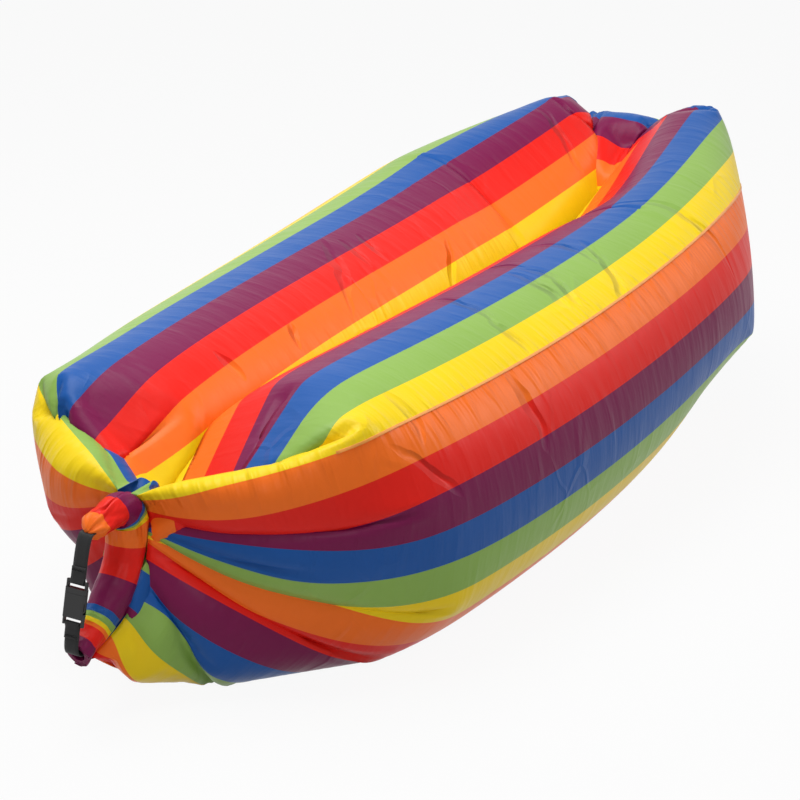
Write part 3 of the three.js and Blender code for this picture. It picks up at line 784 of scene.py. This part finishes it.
FILM_SMOOTHING = 60
film_step = 2
film_end = ROWS // 12
film_grid = calm(cloth[film_end:-film_end:film_step, ::film_step], FILM_SMOOTHING)
film = tube_mesh("inner_film", inside_of(film_grid, LINER_GAP), liner_film)
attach(film, "lounger")
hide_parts("inner_film_liner")


# The sewn seam.
SEAM_WIDTH = 0.0045
SEAM_WALL = 0.0009
SEAM_RAISED = 0.0006         # from the cloth to the tape's underside
TAPE_OUTLINE = [(-0.5, 0.0), (-0.5, 0.6), (-0.42, 1.0), (-0.14, 0.82), (0.14, 0.82), (0.42, 1.0),
                (0.5, 0.6), (0.5, 0.0), (0.42, -0.5), (-0.42, -0.5)]


def column_at(points, degrees):
    """The line along the sleeve at that angle round it, and the way out of the cloth there."""
    place = degrees / 360 * AROUND
    low, share = int(place), place - int(place)
    return [grid[:, low] * (1 - share) + grid[:, (low + 1) % AROUND] * share
            for grid in (points, outwards(points))]


def straight_ahead(line):
    ahead = np.gradient(line, axis=0)
    ahead /= np.linalg.norm(ahead, axis=1, keepdims=True)
    return ahead


def sweep(name, line, across, out, width, wall, outline, material):
    """A band along a line. Its outline is in shares of its width and its wall."""
    rings = np.stack([line + across * (a * width) + out * (b * wall) for a, b in outline], 1)
    return loft(name, rings, material)


def tape(name, line, out, width, wall, material):
    """A flat strip with rounded edges that lies on the cloth along a line."""
    across = np.cross(straight_ahead(line), out)
    across /= np.linalg.norm(across, axis=1, keepdims=True)
    return sweep(name, line, across, out, width, wall, TAPE_OUTLINE, material)


seam_line, seam_out = column_at(calm(cloth, 2), SEAM_ANGLE)
skip = ROWS // 14
seam = tape("long_seam", seam_line[skip:-skip] + seam_out[skip:-skip] * SEAM_RAISED,
            seam_out[skip:-skip], SEAM_WIDTH, SEAM_WALL, seam_tape)
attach(seam, "lounger")
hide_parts("sleeve_long_seam")

# The rolled mouth.
ROLL_TURNS = 4.0
ROLL_STEPS = 170
STEPS_PER_TURN = 44
ROLL_TWIST = 0.9             # radians that the winding turns from one tip to the other
WOUND_WALL = 0.0015          # four layers of cloth wound as one, pressed flat
CORE = 0.0137                # the stiffening strips are wound up in the middle
PRESSED_LENGTH = 0.055       # the share of the roll's length over which its upper tip is pressed
PRESSED_FLAT = 0.02
MEASURED_ROW = 60            # of the roll's rows, the one whose winding gives the map's lengths
# where each band of colour ends, in shares of the roll's length from its upper tip; the bands in
# the upper bend are squeezed together
BAND_ENDS = [0.0, 0.075, 0.20, 0.27, 0.285, 0.30, 0.32, 0.435, 0.60, 0.765, 0.80, 0.83, 0.85, 0.87,
             0.945, 1.0]
FIRST_BAND = 2               # the upper tip is orange
# the dents: over what size and how deep, those that run along the roll and the small ones
LONG_DENTS = (0.008, 0.0024)
SMALL_DENTS = (0.0035, 0.0009)
DENTS_SUNK = 0.0018
DENT_LENGTH, DENT_RADIUS = 0.30, 0.03        # of the round bar that they are drawn on
LONG_SHARE = 0.45            # how much slower the long ones change along it
TIP_DENTS = 1.9              # how much deeper they are at the upper tip


def lumps(points, size, seed):
    """Smooth random unevenness from -1 to 1 at each point, at a grain of that size."""
    chance = np.random.default_rng(seed)
    total = np.zeros(points.shape[:-1])
    for _ in range(14):
        wave = chance.normal(0, 1, 3) / size
        total += np.sin(points @ wave + chance.uniform(0, 2 * math.pi))
    return total / 5


def dents(along_roll, angle):
    """How far the roll's skin stands out, or in where it is below 0. The tips are dented more."""
    spots = np.stack([np.broadcast_to(along_roll[:, None] * DENT_LENGTH, angle.shape),
                      np.cos(angle) * DENT_RADIUS, np.sin(angle) * DENT_RADIUS], -1)
    stretched = spots * np.array([LONG_SHARE, 1, 1])
    total = lumps(stretched, LONG_DENTS[0], 5) * LONG_DENTS[1]
    total = total + lumps(spots, SMALL_DENTS[0], 6) * SMALL_DENTS[1]
    tips = ease(1 - along_roll / 0.22) + 0.5 * ease((along_roll - 0.88) / 0.12)
    return total * (1 + TIP_DENTS * tips[:, None]) - DENTS_SUNK


def wound_roll():
    """The rolled mouth as one long sheet wound round its core, with its map and its wall."""
    along_roll = np.linspace(0, 1, ROLL_STEPS)
    line_x, line_z, in_x, in_z = (line[:, None] for line in rolled_line(ROLL_STEPS))
    wind = np.linspace(0, ROLL_TURNS, int(ROLL_TURNS * STEPS_PER_TURN) + 1)
    thick = roll_radius(along_roll)[:, None] - WOUND_WALL / 2
    # the upper tip is pressed together and its cloth folded over the end
    pressed = np.sqrt(np.clip(along_roll / PRESSED_LENGTH, PRESSED_FLAT, 1))[:, None]
    away = (CORE + (thick - CORE) * (wind[None] / ROLL_TURNS)) * pressed
    angle = 2 * math.pi * (wind[None] - ROLL_TURNS) + ROLL_TWIST * (along_roll[:, None] - 0.5)
    side, across = np.cos(angle) * away, np.sin(angle) * away
    points = np.stack([line_x + in_x * side, across, line_z + in_z * side], -1)
    normal = np.stack([in_x * np.cos(angle), np.sin(angle), in_z * np.cos(angle)], -1)
    skin = (wind / ROLL_TURNS)[None, :, None] ** 3
    points = points + normal * (dents(along_roll, angle)[..., None] * skin)

    rows, columns = points.shape[:2]
    number = np.arange(rows * columns).reshape(rows, columns)
    quads = np.stack([number[:-1, :-1], number[:-1, 1:], number[1:, 1:], number[1:, :-1]], -1)
    mesh = bpy.data.meshes.new("rolled_cloth")
    mesh.from_pydata(points.reshape(-1, 3).tolist(), [], quads.reshape(-1, 4).tolist())
    band = np.interp(along_roll, BAND_ENDS, FIRST_BAND + np.arange(len(BAND_ENDS)))
    band = np.clip(band, FIRST_BAND + 0.05, FIRST_BAND + len(BAND_ENDS) - 1.05)
    u = (STRIPE_START * REPEATS / 360 + band / len(STRIPE_ORDER)) / REPEATS
    wound = side[MEASURED_ROW], across[MEASURED_ROW]
    v = np.cumsum(np.r_[0, np.hypot(*np.diff(wound))])
    u, v = np.broadcast_to(u[:, None], angle.shape), np.broadcast_to(v[None], angle.shape)
    add_map(mesh, np.stack([u, v], -1).reshape(-1, 2)[quads.reshape(-1)])
    mesh.polygons.foreach_set("use_smooth", [True] * len(mesh.polygons))
    mesh.materials.append(roll_cloth)
    piece = bpy.data.objects.new("rolled_cloth", mesh)
    bpy.context.scene.collection.objects.link(piece)
    wall = piece.modifiers.new("wall", "SOLIDIFY")
    wall.thickness = WOUND_WALL
    wall.offset = 0
    bpy.context.view_layer.objects.active = piece
    bpy.ops.object.modifier_apply(modifier=wall.name)
    return piece


roll = wound_roll()
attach(roll, "lounger")
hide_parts("rolled_mouth")

# Flat bands: the hem strips and the straps.
STRIP_WIDTH = 0.025
STRIP_WALL = 0.0011
STRIP_OFF = 0.0008           # from the roll's middle line to each strip's own
STRAP_WIDTH = 0.025
STRAP_WALL = 0.0017
ROUNDING = 0.2               # of a band's edges, as a share of its wall


def ribbon(name, line_x, line_z, width, wall, material):
    """A flat band, width along y, that follows a line in the middle plane, with rounded edges."""
    ahead_x, ahead_z = np.gradient(line_x), np.gradient(line_z)
    length = np.hypot(ahead_x, ahead_z)
    none = np.zeros(len(line_x))
    out = np.stack([-ahead_z / length, none, ahead_x / length], -1)
    edge = 0.5 - ROUNDING * wall / width
    top = [(-edge, 0.5), (-0.25, 0.5), (0, 0.5), (0.25, 0.5), (edge, 0.5), (0.5, 0.2)]
    outline = [*top, (0.5, -0.2), *[(a, -b) for a, b in top[-2::-1]], (-0.5, -0.2), (-0.5, 0.2)]
    return sweep(name, np.stack([line_x, none, line_z], -1), np.array([0.0, 1.0, 0.0]), out,
                 width, wall, outline, material)


for name, shift in (("near_hem_strip", 1), ("far_hem_strip", -1)):
    strip_x, strip_z, in_x, in_z = rolled_line(90)
    inner = slice(8, 82)
    strip = ribbon(name, (strip_x + in_x * STRIP_OFF * shift)[inner],
                   (strip_z + in_z * STRIP_OFF * shift)[inner], STRIP_WIDTH, STRIP_WALL,
                   strip_plastic)
    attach(strip, "lounger")
    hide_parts("near_stiffening_strip" if shift == 1 else "far_stiffening_strip")

BUCKLE_PLACE = (-0.994723, 0.217)     # the buckle's own frame, as x and z, and its lean
BUCKLE_LEAN = math.radians(15)
UPPER_BAR, LOWER_BAR = 0.0176, -0.0453       # how far up its two bars are from there
LOOP_RADIUS = 0.00345
LAYER_APART = 0.001          # from the middle of the loop to each of the strap's layers
TAIL = 0.022                 # how long the strap lies double
STITCH_COUNT = 36
STITCH_WIDTH = 0.021
STITCH_LENGTH = 0.0014       # to each side of the zigzag's middle line
STITCH_OFF = 0.0013
STITCHED_AT = 0.8            # of the tail's length
THREAD_RADIUS = 0.0004


def from_buckle(across, up):
    return (BUCKLE_PLACE[0] + across * math.cos(BUCKLE_LEAN) + up * math.sin(BUCKLE_LEAN),
            BUCKLE_PLACE[1] - across * math.sin(BUCKLE_LEAN) + up * math.cos(BUCKLE_LEAN))


def strap_line(tip_x, level, bar):
    """From inside the roll's tip, round it and down or up to the buckle's bar, and back."""
    away = math.copysign(1, bar)
    start, low = from_buckle(LAYER_APART, bar + away * TAIL), from_buckle(LAYER_APART, bar)
    rise = (level - start[1]) / (start[1] - low[1])
    corner = (start[0] + (start[0] - low[0]) * rise, level)
    mouth = (tip_x, level)
    line = [(tip_x + TAIL, level), (tip_x + TAIL / 2, level)]
    for share in np.linspace(0, 1, 14):
        line.append(tuple((1 - share) ** 2 * mouth[k] + 2 * share * (1 - share) * corner[k]
                          + share ** 2 * start[k] for k in (0, 1)))
    for share in np.linspace(0.15, 0.9, 6):
        line.append(from_buckle(LAYER_APART, bar + away * TAIL * (1 - share)))
    for turn in np.linspace(0, math.pi, 15):
        line.append(from_buckle(LOOP_RADIUS * math.cos(turn),
                                bar - away * LOOP_RADIUS * math.sin(turn)))
    for share in np.linspace(0.25, 1, 6):
        line.append(from_buckle(-LAYER_APART, bar + away * TAIL * share))
    return np.array(line)


def stitches(name, bar):
    """A dense zigzag of thread through a strap's two layers."""
    away = math.copysign(1, bar)
    places = []
    for k in range(STITCH_COUNT + 1):
        up = bar + away * (TAIL * STITCHED_AT + (STITCH_LENGTH if k % 2 else -STITCH_LENGTH))
        x, z = from_buckle(-LAYER_APART - STITCH_OFF, up)
        places.append((x, -STITCH_WIDTH / 2 + STITCH_WIDTH * k / STITCH_COUNT, z))
    line = np.array(places)
    out = np.array([math.cos(BUCKLE_LEAN), 0, -math.sin(BUCKLE_LEAN)])
    across = np.cross(straight_ahead(line), out)
    turns = np.arange(6) * math.pi / 3
    rings = np.stack([line + THREAD_RADIUS * (across * math.cos(t) + out * math.sin(t))
                      for t in turns], 1)
    return loft(name, rings, black_thread)


for node, new, (tip_x, level), bar in (
        ("upper_webbing_strap", "upper_strap", ROLL_LINE[0], UPPER_BAR),
        ("lower_webbing_strap", "lower_strap", ROLL_LINE[-1], LOWER_BAR)):
    line = strap_line(tip_x, level, bar)
    strap = ribbon(new, line[:, 0], line[:, 1], STRAP_WIDTH, STRAP_WALL, black_webbing)
    tack = stitches(new + "_stitches", bar)
    if bar > 0:
        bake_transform(strap)
        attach(tack, "plug")
    else:
        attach(strap, "lounger")
        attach(tack, "lounger")
    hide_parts(node)
    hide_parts(node.replace("webbing_strap", "bar_tack"))


# The strip that joins the halves.
JOINING_WIDTH = 0.011
JOINING_WALL = 0.0012
JOINING_FROM, JOINING_TO = -0.46, 0.56       # along the lounger
HALVES_OPEN = 0.004          # from the middle plane to the cloth where the strip lies
JOINING_SMOOTHING = 60


def valley_floor():
    """Along the two sewn halves, how high the gap between them opens."""
    rows = [row for row in range(ROWS // 2)
            if JOINING_FROM < cloth[row, 0, 0] < JOINING_TO and row > ROWS * JOIN_FROM]
    line = []
    for row in rows:
        rising = cloth[row, :AROUND // 4]
        open_from = int(np.argmax(rising[:, 1] < -HALVES_OPEN))
        line.append((rising[open_from, 0], 0.0, rising[open_from, 2]))
    line = np.array(line)
    for _ in range(JOINING_SMOOTHING):
        line[1:-1] += 0.25 * (line[2:] + line[:-2] - 2 * line[1:-1])
    return line


floor_line = valley_floor()
joining = tape("joining_strip", floor_line, np.tile([0.0, 0.0, 1.0], (len(floor_line), 1)),
               JOINING_WIDTH, JOINING_WALL, seam_tape)
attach(joining, "lounger")
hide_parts("valley_joining_strip")

# The buckle, whose solids are kept.
for node in ("buckle_socket", "buckle_plug", "near_squeeze_prong", "far_squeeze_prong"):
    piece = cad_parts[node]
    piece.data.materials.clear()
    piece.data.materials.append(black_plastic)
    edges = piece.modifiers.new("rounded_edges", "BEVEL")
    edges.width = 0.0007
    edges.segments = 2
    edges.limit_method = "ANGLE"
    edges.angle_limit = math.radians(40)
